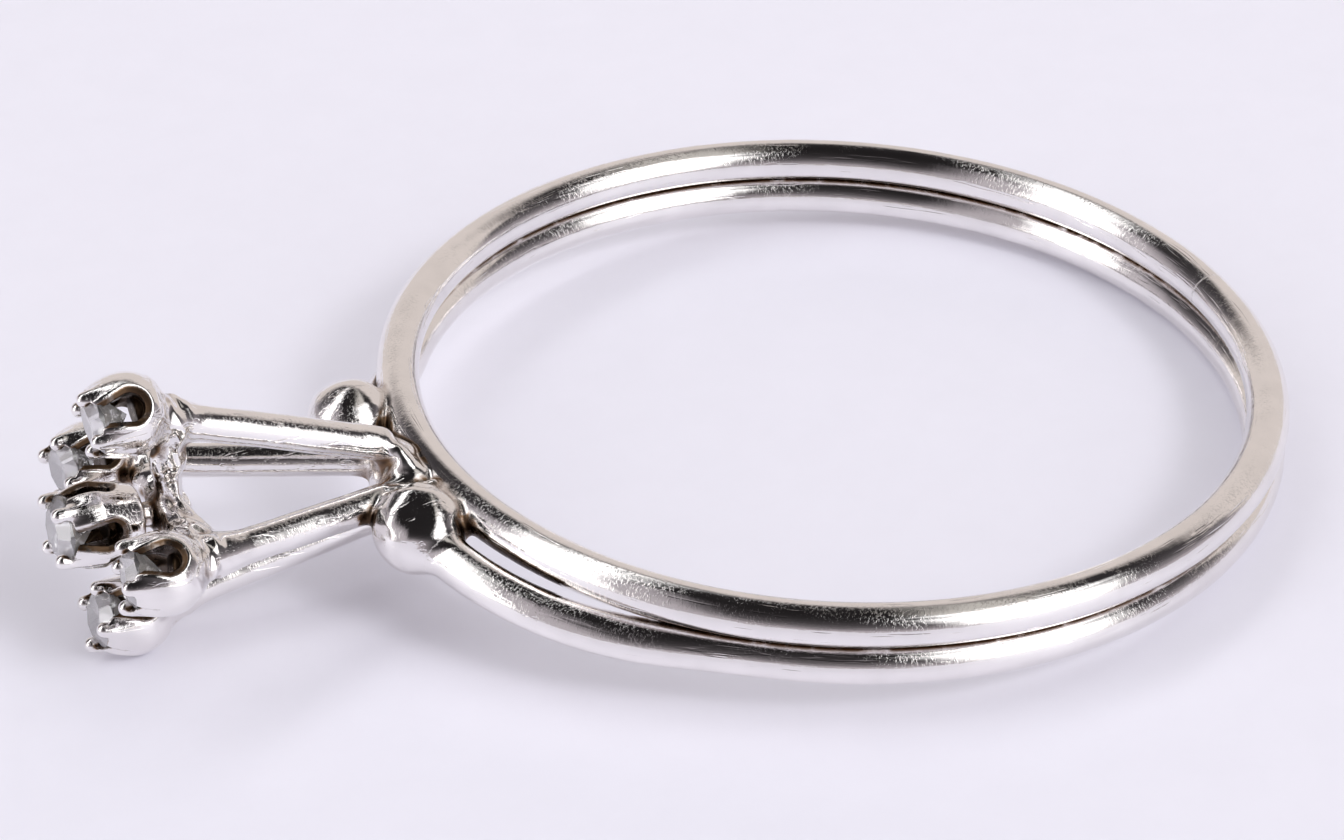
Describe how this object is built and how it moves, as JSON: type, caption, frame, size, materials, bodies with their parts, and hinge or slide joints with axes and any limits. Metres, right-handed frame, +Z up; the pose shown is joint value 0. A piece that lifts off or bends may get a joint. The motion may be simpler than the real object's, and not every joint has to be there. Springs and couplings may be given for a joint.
{
  "type": "five-stone diamond ring",
  "caption": "White metal diamond cluster ring: a band of stacked round wires with bead ends, and a tall open head of posts carrying small prong-set cups. It lies on its side.",
  "frame": {"origin": "centre of the finger hole, on the middle plane between the two band wires", "axes": "+Z up from the surface that the ring rests on; -X towards the head; the near bead is on the -Y side. The finger hole's axis leans 4 degrees from +Z towards +X, because the ring rests on its lower wire and its lowest cup."},
  "size_m": [0.0261, 0.0188, 0.0062],
  "materials": {
    "metal": "polished, with fine wear",
    "diamond": "polished facets"
  },
  "bodies": {
    "root": {"soldered_mount": "metal", "stone_centre": "diamond", "stone_top": "diamond", "stone_far": "diamond", "stone_bottom": "diamond", "stone_near": "diamond"}
  },
  "joints": []
}
